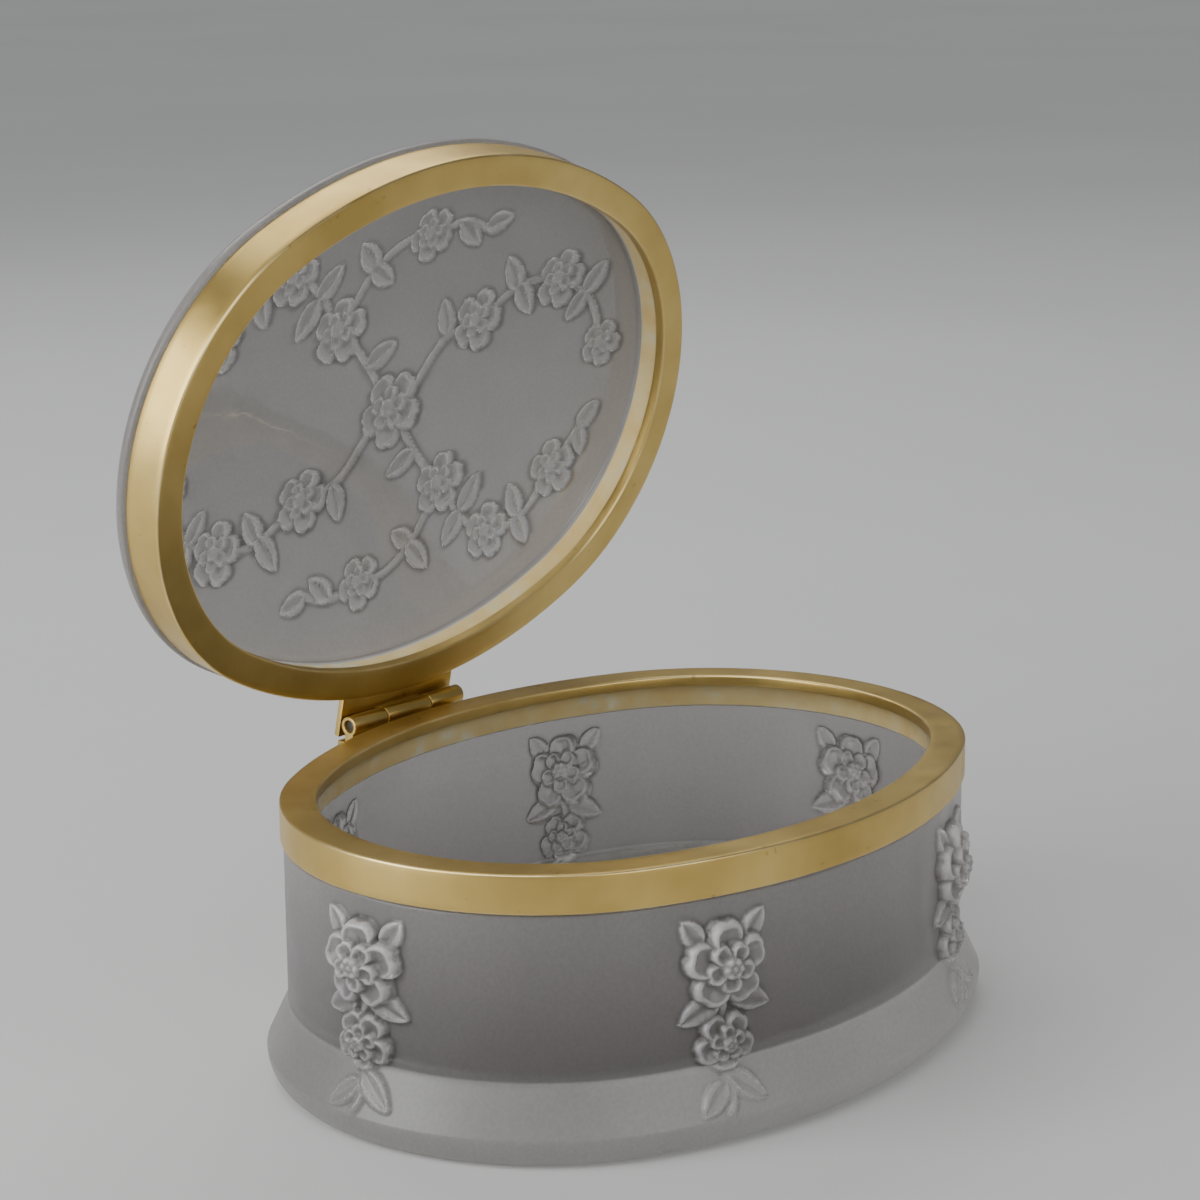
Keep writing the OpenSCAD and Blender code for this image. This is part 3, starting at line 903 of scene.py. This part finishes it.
def disc_grid(cells):
    """Concentric map of a square grid to the unit disc: radius and direction at each point."""
    line = np.linspace(-1, 1, cells + 1)
    p, q = np.meshgrid(line, line, indexing="ij")
    wide = np.abs(p) > np.abs(q)
    safe_p, safe_q = np.where(p == 0, 1, p), np.where(q == 0, 1, q)
    radius = np.where(wide, np.abs(p), np.abs(q))
    turn = np.where(wide, (math.pi / 4) * q / safe_p + np.where(p < 0, math.pi, 0),
                    QUARTER - (math.pi / 4) * p / safe_q + np.where(q < 0, math.pi, 0))
    return radius, turn


def border(cells):
    """Grid indices round the border, the way the disc turns."""
    n = cells + 1
    east = [(cells, j) for j in range(cells)]
    north = [(i, cells) for i in range(cells, 0, -1)]
    west = [(0, j) for j in range(cells, 0, -1)]
    south = [(i, 0) for i in range(cells)]
    return np.array([i * n + j for i, j in east + north + west + south])


def facing_of_turn(turn, offset):
    """Direction that the oval's parallel faces where the disc's direction meets it."""
    facing = np.linspace(-math.pi, 3 * math.pi, 4 * LOOKUP_STEPS + 1)
    x, y = oval_points(facing, offset)
    polar = np.unwrap(np.arctan2(y / HALF_WIDTH, x / HALF_LENGTH))
    halfway = len(facing) // 2
    return np.interp(turn, polar - polar[halfway] + math.pi, facing)


def disc_plan(cells, offset):
    """Plan points of a grid that fills the oval out to an offset."""
    radius, turn = disc_grid(cells)
    x, y = oval_points(facing_of_turn(np.mod(turn, FULL_TURN), offset), offset)
    return radius * x, radius * y


def grid_faces(cells):
    """Four-sided faces of a square grid."""
    n = cells + 1
    i, j = np.meshgrid(np.arange(cells), np.arange(cells), indexing="ij")
    base = (i * n + j).ravel()
    return np.stack([base, base + n, base + n + 1, base + 1], -1)


print("dome grid %d by %d" % (DOME_CELLS, DOME_CELLS))

# %% [markdown]
# The lid's sprays spring from a blossom in the middle and curve out in four
# directions, the same again when the lid is turned half round. Blossoms, leaves and
# stems are placed in the plan of the shut lid, in millimetres. Each blossom is turned
# a little by its place, so that no two of a half look alike.

# %% Sprays on the lid
LID_RELIEF = 3.4
TURN_BY_PLACE = 0.3
LID_BLOSSOMS = [(19, 20, 7.6), (36, 34, 6.8), (56, 22, 7.0),
                (24, -17, 7.4), (49, -24, 7.4), (66, -7, 5.8), (-4, 39, 6.4)]
LID_STEMS = [[(4, 5), (12, 14), (19, 20), (27, 29), (36, 34), (47, 32), (56, 22), (64, 12)],
             [(6, -4), (14, -14), (24, -17), (37, -24), (49, -24), (60, -18), (66, -7)],
             [(19, 20), (12, 32), (4, 38), (-4, 39), (-14, 41), (-23, 38)]]
LID_LEAVES = [(9, 11, 150, 9, 4.8), (27, 28, 125, 9, 5.0), (27, 28, -60, 10, 5.2), (45, 32, 60, 8, 4.6),
              (46, 32, -115, 9, 4.8), (15, -15, -110, 9, 4.8), (36, -23, -125, 10, 5.0),
              (36, -24, 55, 9, 5.0), (58, -20, -60, 9, 5.0), (58, -20, 125, 8, 4.6),
              (11, 33, 45, 9, 5.0), (-13, 41, -140, 9, 5.0), (-21, 39, 165, 8, 4.6),
              (12, 33, -150, 8, 4.6), (63, 13, -50, 8, 4.4), (63, 13, 80, 7, 4.2)]


def dome_at(offset):
    """Height of the shut lid's outer surface at an offset from the rim line, without its relief."""
    s = np.clip((EDGE_OFFSET - offset) / DOME_RUN, 0, 1)
    return LID_EDGE_TOP + DOME_RISE * (1 - (1 - s) ** 2)


def dome_height(x, y):
    """The same height, at plan points."""
    return dome_at(rim_offset(x, y))


def carve_lid(relief):
    """Both halves of the lid's design, and the blossom in the middle."""
    for side, half_round in ((1, 0), (-1, math.pi)):
        for points in LID_STEMS:
            relief.stem([(side * x, side * y) for x, y in points], STEM_RADIUS)
        for x, y, turn, length, width in LID_LEAVES:
            relief.leaf((side * x, side * y), math.radians(turn) + half_round, length, width)
        for x, y, radius in LID_BLOSSOMS:
            height = LID_RELIEF * radius / BLOSSOM_RADIUS
            relief.blossom((side * x, side * y), radius, height, TURN_BY_PLACE * x)
    relief.blossom((0, 0), BLOSSOM_RADIUS, LID_RELIEF)


print("%d blossoms on the lid" % (2 * len(LID_BLOSSOMS) + 1))

# %% [markdown]
# The dome rises with a soft curve from its edge. Each relief point moves along the
# dome's own direction, so the blossoms lean with it. From the dome's border, one
# outline runs over the rounded edge, along the shoulder, down the neck, and up the
# clear inside. Its fillet meets the ceiling without a crease, and a few more full
# rings keep the line there smooth.

# %% Dome and outline of the lid
SLOPE_STEP = 0.5
EDGE_START = math.radians(76)
FADE_INSIDE_EDGE = (0.2, 2.0)


def carved_dome():
    """The dome's points, row by row, and the relief that raised them."""
    x, y = disc_plan(DOME_CELLS, EDGE_OFFSET)
    relief = Relief(x, y)
    carve_lid(relief)
    start, full = FADE_INSIDE_EDGE
    relief.height *= smooth_step(EDGE_OFFSET - start, EDGE_OFFSET - full, rim_offset(x, y))
    slope_x = (dome_height(x + SLOPE_STEP, y) - dome_height(x - SLOPE_STEP, y)) / (2 * SLOPE_STEP)
    slope_y = (dome_height(x, y + SLOPE_STEP) - dome_height(x, y - SLOPE_STEP)) / (2 * SLOPE_STEP)
    rise = relief.height / np.sqrt(1 + slope_x ** 2 + slope_y ** 2)
    points = np.stack([x - rise * slope_x, y - rise * slope_y, dome_height(x, y) + rise], -1)
    return points.reshape(-1, 3), relief


def lid_outline():
    """Points (offset, height) from the dome's border in to the ceiling, their skins, and the wall's top."""
    centre = LID_EDGE_TOP - EDGE_ROUND
    edge = [(EDGE_OFFSET + EDGE_ROUND * math.cos(t), centre + EDGE_ROUND * math.sin(t))
            for t in np.linspace(EDGE_START, 0, 7)]
    shoulder = [(LID_OVERHANG, LID_SHOULDER + EDGE_BREAK), (LID_OVERHANG - EDGE_BREAK, LID_SHOULDER),
                (NECK_OFFSET + CREASE_WIDTH, LID_SHOULDER)]
    low = LID_FACE + SHEET + CEMENT
    neck = [(NECK_OFFSET, LID_SHOULDER - CREASE_HEIGHT), (NECK_OFFSET, low + NECK_BREAK),
            (NECK_OFFSET - NECK_BREAK, low), (LID_INSIDE + NECK_BREAK, low), (LID_INSIDE, low + NECK_BREAK)]
    outline = edge + shoulder + neck
    wall_top = len(outline)
    lean = math.atan(dome_at(LID_INSIDE - 1) - dome_at(LID_INSIDE))
    middle = dome_at(LID_INSIDE) - LID_THICKNESS + CEILING_FILLET * (math.tan(lean) - 1 / math.cos(lean))
    outline += [(LID_INSIDE + CEILING_FILLET * (math.cos(t) - 1), middle + CEILING_FILLET * math.sin(t))
                for t in np.linspace(0, QUARTER - lean, 9)]
    fillet_end = outline[-1][0]
    for ring in CEILING_RINGS:
        offset = fillet_end - ring
        outline.append((offset, dome_at(offset) - LID_THICKNESS))
    skins = [IN_FROSTED] * len(edge + shoulder) + [IN_CEMENT] * BONDED_BANDS
    return outline, skins + [IN_CLEAR] * (len(outline) - len(skins)), wall_top


print("the lid's outline has %d points" % len(lid_outline()[0]))

# %% [markdown]
# The lid's glass is one closed skin as well, polished below, where it follows the
# dome at an even thickness. That ceiling is plain, so its grid is coarser, and a
# strip of triangles joins the two grids. The lid is made shut and then turned to
# where it stands.

# %% Lid glass
LID_SKINS = [CLEAR, FROSTED_LID, PLASTER]
STRIP_WIDTH = 1.5


def open_lid(piece):
    """Turns a piece that was made on the shut lid to where the lid stands."""
    pin = Matrix.Translation(Vector((0, AXIS_Y, AXIS_Z)) * MM)
    piece.data.transform(pin @ Matrix.Rotation(-LID_OPEN, 4, "X") @ pin.inverted())
    piece.data.update()
    return piece


def joining_strip(fine, coarse):
    """Triangles between a ring of many points and the border of a coarser grid."""
    share = len(fine) // len(coarse)
    faces = []
    for i, corner in enumerate(coarse):
        following = coarse[(i + 1) % len(coarse)]
        for k in range(share):
            j = i * share + k
            faces.append([fine[j], corner if k < (share + 1) // 2 else following, fine[(j + 1) % len(fine)]])
        j = (i * share + (share + 1) // 2) % len(fine)
        faces.append([fine[j], corner, following])
    return faces


def glass_lid():
    """The whole lid glass as one closed mesh."""
    dome, relief = carved_dome()
    outline, skins, wall_top = lid_outline()
    rim_ring = border(DOME_CELLS)
    columns = len(rim_ring)
    turn = disc_grid(DOME_CELLS)[1].ravel()[rim_ring]
    facing = facing_of_turn(np.mod(turn, FULL_TURN), EDGE_OFFSET)
    bands = np.vstack([ring_points(facing, offset, z) for offset, z in outline])
    x, y = disc_plan(CEILING_CELLS, outline[-1][0] - STRIP_WIDTH)
    ceiling = np.stack([x, y, dome_height(x, y) - LID_THICKNESS], -1).reshape(-1, 3)
    first_band, first_ceiling = len(dome), len(dome) + len(bands)

    faces = grid_faces(DOME_CELLS).tolist()
    indices = [IN_FROSTED] * len(faces)
    rings = [rim_ring] + [first_band + k * columns + np.arange(columns) for k in range(len(outline))]
    for skin, one, two in zip(skins, rings, rings[1:]):
        faces += np.stack([one, two, np.roll(two, -1), np.roll(one, -1)], -1).tolist()
        indices += [skin] * columns
    faces += joining_strip(rings[-1], first_ceiling + border(CEILING_CELLS))
    faces += (grid_faces(CEILING_CELLS)[:, ::-1] + first_ceiling).tolist()
    indices += [IN_CLEAR] * (len(faces) - len(indices))
    piece = build_mesh("glass_lid_moulded", np.vstack([dome, bands, ceiling]), faces, LID_SKINS, indices)

    for name, shares in ((CARVING, relief.carving()), (OUTLINES, relief.outlines())):
        mark(piece, name, np.append(shares.ravel(), np.full(len(bands) + len(ceiling), PLAIN)))
    # the painted shade of the clear glass is left off on the rows beside the cement
    unshaded = np.zeros(first_ceiling + len(ceiling))
    unshaded[first_band + (wall_top - 1) * columns:first_band + (wall_top + 1) * columns] = 1
    return open_lid(mark(piece, UNSHADED, unshaded))


lid = glass_lid()
place(lid, "lid", "glass_lid")

# %% [markdown]
# The collars are channels of sheet, and the cement is cast into them. Each is one
# closed outline carried round the oval. Its corners are turned into small arcs, as
# on spun and filed brass, and marked as worn. The faces also get a map whose one
# axis runs round the rim, for the rubbing lines.

# %% Rings carried round the oval
FLAT_BEND = math.radians(18)
FULL_BEND = math.radians(26)
CORNER_SHARE = 0.45


def rounded(points, radius, steps=3):
    """Closed outline with each corner turned into a small arc of about this radius."""
    outline = []
    count = len(points)
    for i in range(count):
        p, q, r = (np.array(points[(i + k) % count], float) for k in (-1, 0, 1))
        into, out = p - q, r - q
        reach = min(radius, CORNER_SHARE * np.hypot(*into), CORNER_SHARE * np.hypot(*out))
        start, end = q + into / np.hypot(*into) * reach, q + out / np.hypot(*out) * reach
        outline += soft_corner(start, q, end, steps + 1)
    return outline


def bends(outline):
    """Share from 0 on a flat to 1 inside a rounded corner, for each point of a closed outline."""
    points = np.array(outline, float)
    out = np.roll(points, -1, axis=0) - points
    into = np.roll(out, 1, axis=0)
    turn = np.arctan2(into[:, 0] * out[:, 1] - into[:, 1] * out[:, 0], (into * out).sum(axis=1))
    return smooth_step(FLAT_BEND, FULL_BEND, np.abs(turn))


def filled(outline, spacing):
    """The same closed outline with extra points wherever two are further apart than the spacing."""
    dense = []
    for p, q in zip(outline, outline[1:] + outline[:1]):
        p, q = np.array(p, float), np.array(q, float)
        parts = max(1, math.ceil(np.hypot(*(q - p)) / spacing))
        dense += [p + (q - p) * k / parts for k in range(parts)]
    return dense


def swept(name, outline, facing, material):
    """Solid ring: a closed outline of (offset, height) points carried round the oval."""
    rows = np.array([ring_points(facing, offset, height) for offset, height in outline])
    faces = ring_faces(len(rows), len(facing), closed=True)
    ring = build_mesh(name, rows.reshape(-1, 3), faces, [material])
    x, y = oval_points(facing, 0.0)
    along = np.concatenate([[0], np.cumsum(np.hypot(np.roll(x, -1) - x, np.roll(y, -1) - y))]) * MM
    closed = np.array(list(outline) + [outline[0]], float)
    across = np.concatenate([[0], np.cumsum(np.hypot(*np.diff(closed, axis=0).T))]) * MM
    u, v = np.meshgrid(along, across)
    low, high = slice(None, -1), slice(1, None)
    around_face = ((low, low), (low, high), (high, high), (high, low))
    corners = [np.stack([u[i, j], v[i, j]], -1) for i, j in around_face]
    ring.data.uv_layers.new(name=RIM_LINES).data.foreach_set("uv", np.stack(corners, 2).ravel())
    return mark(ring, WORN, np.repeat(bends(outline), len(facing)))


print("a corner counts as worn from %.0f degrees" % math.degrees(FLAT_BEND))

# %% [markdown]
# A collar has a tall outer skirt, a flat face and a short inner lip. The cement fills
# the channel between brass and glass, and it shows as a golden band through the clear
# inside. It stops a hair short of its neighbours, so that no two faces share a plane.

# %% Collars and cement
COLLAR_DIRECTIONS = QUARTER + np.linspace(0, FULL_TURN, 400, endpoint=False)
EDGE_SOFTNESS = 0.45
ROW_SPACING = 1.2
BASE_SKIRT = RIM_HEIGHT - SKIRT_LOW
LID_SKIRT = LID_SKIRT_TOP - LID_FACE
BED_DEPTH = LIP_DEPTH - CEMENT


def collar(name, face, skirt, width, lip, up):
    """Channel whose face is at a height, with its skirt going up (1) or down (-1) from it."""
    outline = [(0, face), (-width, face), (-width, face + up * lip), (-width + LIP_SHEET, face + up * lip),
               (-width + LIP_SHEET, face + up * SHEET), (-SHEET, face + up * SHEET),
               (-SHEET, face + up * skirt), (0, face + up * skirt)]
    outline = rounded(outline if up > 0 else outline[::-1], EDGE_SOFTNESS)
    return swept(name, filled(outline, ROW_SPACING), COLLAR_DIRECTIONS, BRASS)


def cement(name, face, skirt, width, inside, lip, up):
    """Bed of cement in such a channel, a crevice short of the brass and the glass."""
    low, top = face + up * (SHEET + CREVICE), face + up * (SHEET + CEMENT - CREVICE)
    beside_lip, lip_end = -width + LIP_SHEET + CREVICE, face + up * lip
    skirt_end = face + up * (skirt - CEMENT)
    outline = [(-SHEET - CREVICE, low), (beside_lip, low), (beside_lip, lip_end), (inside - CREVICE, lip_end),
               (inside - CREVICE, top), (NECK_OFFSET + CREVICE, top),
               (NECK_OFFSET + CREVICE, skirt_end), (-SHEET - CREVICE, skirt_end)]
    return swept(name, outline if up > 0 else outline[::-1], COLLAR_DIRECTIONS, PLASTER)


base_collar = collar("base_collar_gilt", RIM_HEIGHT, BASE_SKIRT, BASE_FACE_WIDTH, LIP_DEPTH, -1)
place(base_collar, "base", "base_collar")
base_cement = cement("base_cement_bed", RIM_HEIGHT, BASE_SKIRT, BASE_FACE_WIDTH, BOWL_INSIDE, BED_DEPTH, -1)
place(base_cement, "base", "base_cement")
lid_collar = open_lid(collar("lid_collar_gilt", LID_FACE, LID_SKIRT, LID_FACE_WIDTH, LIP_DEPTH, 1))
place(lid_collar, "lid", "lid_collar")
lid_cement = open_lid(cement("lid_cement_bed", LID_FACE, LID_SKIRT, LID_FACE_WIDTH, LID_INSIDE, BED_DEPTH, 1))
place(lid_cement, "lid", "lid_cement")

# %% [markdown]
# The hinge parts have plain turned and sawn shapes that the CAD solids already hold
# to the hundredth. A copy of each solid's mesh gets its edges broken with a small
# bevel, as a file would leave them. The leaves get the hinge's brass and the pin its steel.

# %% Hinge
HINGE_BEVEL = 0.16 * MM
WELD = 0.001 * MM
FLAT_ANGLE = math.radians(1)
SHARP_ANGLE = math.radians(35)


def softened(node, name, material, bevel):
    """A copy of a CAD node's mesh with bevelled edges."""
    piece = bpy.data.objects.new(name, frame["nodes"][node].data.copy())
    bpy.context.scene.collection.objects.link(piece)
    cleaned = bmesh.new()
    cleaned.from_mesh(piece.data)
    bmesh.ops.remove_doubles(cleaned, verts=cleaned.verts, dist=WELD)
    bmesh.ops.dissolve_limit(cleaned, angle_limit=FLAT_ANGLE, verts=cleaned.verts, edges=cleaned.edges)
    cleaned.to_mesh(piece.data)
    cleaned.free()
    piece.data.materials.clear()
    piece.data.materials.append(material)
    edges = piece.modifiers.new("broken_edges", "BEVEL")
    edges.width = bevel
    edges.segments = 2
    edges.limit_method = "ANGLE"
    edges.angle_limit = SHARP_ANGLE
    edges.harden_normals = True
    piece.data.polygons.foreach_set("use_smooth", [True] * len(piece.data.polygons))
    return piece


for node, body, material, slot in (("base_hinge_leaf", "base", HINGE_BRASS, "gilt_brass"),
                                   ("lid_hinge_leaf", "lid", HINGE_BRASS, "gilt_brass"),
                                   ("hinge_pin", "base", STEEL, "pin_steel")):
    place(softened(node, node + "_filed", material, HINGE_BEVEL), body, node)

# %% [markdown]
# The camera stands where the photograph's did, worked out from how the two ovals
# look in it: a long lens a little above the rim, looking at the box from its front
# left corner. The picture is square. Distance and shift are in millimetres, and so
# are the sensor and the lens.

# %% Camera
CAMERA_AZIMUTH = math.radians(-50.12)
CAMERA_ELEVATION = math.radians(13.63)
CAMERA_ROLL = math.radians(-0.42)
CAMERA_DISTANCE = 650.5
CAMERA_SHIFT = (-6.7, 32.8)
SENSOR = 36.0
LENS = 95.24


def direction_from(azimuth, elevation):
    """Unit vector from the box towards these angles, in radians. Azimuth 0 is the front, at -Y."""
    level = math.cos(elevation)
    return Vector((math.sin(azimuth) * level, -math.cos(azimuth) * level, math.sin(elevation)))


def studio_camera():
    """Camera aimed and rolled as the photograph's was, and made the scene's own."""
    back = direction_from(CAMERA_AZIMUTH, CAMERA_ELEVATION)
    right = (-back).cross(Vector((0, 0, 1))).normalized()
    up = right.cross(-back)
    turned_right = right * math.cos(CAMERA_ROLL) + up * math.sin(CAMERA_ROLL)
    turned_up = up * math.cos(CAMERA_ROLL) - right * math.sin(CAMERA_ROLL)
    shift = turned_right * CAMERA_SHIFT[0] + turned_up * CAMERA_SHIFT[1]
    stand = (back * CAMERA_DISTANCE + shift + Vector((0, 0, RIM_HEIGHT))) * MM
    data = bpy.data.cameras.new("studio_camera")
    data.sensor_width = SENSOR
    data.lens = LENS
    camera = bpy.data.objects.new("studio_camera", data)
    axes = Matrix((turned_right, turned_up, back)).transposed().to_4x4()
    camera.matrix_world = Matrix.Translation(stand) @ axes
    bpy.context.scene.collection.objects.link(camera)
    bpy.context.scene.camera = camera
    return camera


camera = studio_camera()
print("camera at", [round(v, 3) for v in camera.matrix_world.translation])

# %% [markdown]
# The studio is a pale floor, a soft grey surround, soft daylight and three large soft
# lamps: a low key from the left, a weaker and lower one from the front, and one high
# behind that lights the glass from the back. The floor lies a hair below the ground
# underside of the bowl, so that the two flat faces don't share one plane.

# %% Floor and light
FLOOR_REACH = 9000.0
FLOOR_DROP = 0.15
LAMP_TARGET = Vector((0, 0, 0.07))


def floor_material():
    """Pale matt floor, very slightly uneven in tone."""
    material, tree, shader, at = new_material("studio_floor")
    tones = [(0.3, (0.61, 0.61, 0.61)), (0.7, (0.64, 0.64, 0.637))]
    tree.links.new(ramp(tree, noise(tree, at, 3, 4), tones), shader.inputs["Base Color"])
    tree.links.new(ramp(tree, noise(tree, at, 40, 4), grey_stops(0.75, 0.9)), shader.inputs["Roughness"])
    return material


def soft_lamp(name, azimuth, elevation, distance, size, power):
    """Area lamp aimed at the box: angles in degrees, distance and size in metres, power in watts."""
    data = bpy.data.lights.new(name, "AREA")
    data.shape = "RECTANGLE"
    data.size, data.size_y = size
    data.energy = power
    lamp = bpy.data.objects.new(name, data)
    direction = direction_from(math.radians(azimuth), math.radians(elevation))
    lamp.location = LAMP_TARGET + direction * distance
    lamp.rotation_euler = direction.to_track_quat("Z", "Y").to_euler()
    bpy.context.scene.collection.objects.link(lamp)


corners = [(x * FLOOR_REACH, y * FLOOR_REACH, -FLOOR_DROP) for x, y in ((-1, -1), (1, -1), (1, 1), (-1, 1))]
floor = build_mesh("studio_floor", corners, [(0, 1, 2, 3)], [floor_material()], smooth=False)
soft_lamp("key_lamp", azimuth=-112, elevation=22, distance=1.1, size=(0.8, 0.8), power=10)
soft_lamp("fill_lamp", azimuth=-10, elevation=13, distance=1.3, size=(0.9, 0.4), power=3.6)
soft_lamp("back_lamp", azimuth=150, elevation=50, distance=1.2, size=(1.0, 0.6), power=5)
daylight = bpy.data.lights.new("soft_daylight", "SUN")
daylight.energy = 1.1
daylight.angle = math.radians(40)
daylight_lamp = bpy.data.objects.new("soft_daylight", daylight)
daylight_lamp.rotation_euler = Vector((-0.75, -0.25, 1.0)).to_track_quat("Z", "Y").to_euler()
bpy.context.scene.collection.objects.link(daylight_lamp)
surround = bpy.data.worlds.new("studio_surround")
surround.use_nodes = True
background = surround.node_tree.nodes["Background"]
background.inputs["Color"].default_value = (0.55, 0.56, 0.58, 1)
background.inputs["Strength"].default_value = 0.33
bpy.context.scene.world = surround
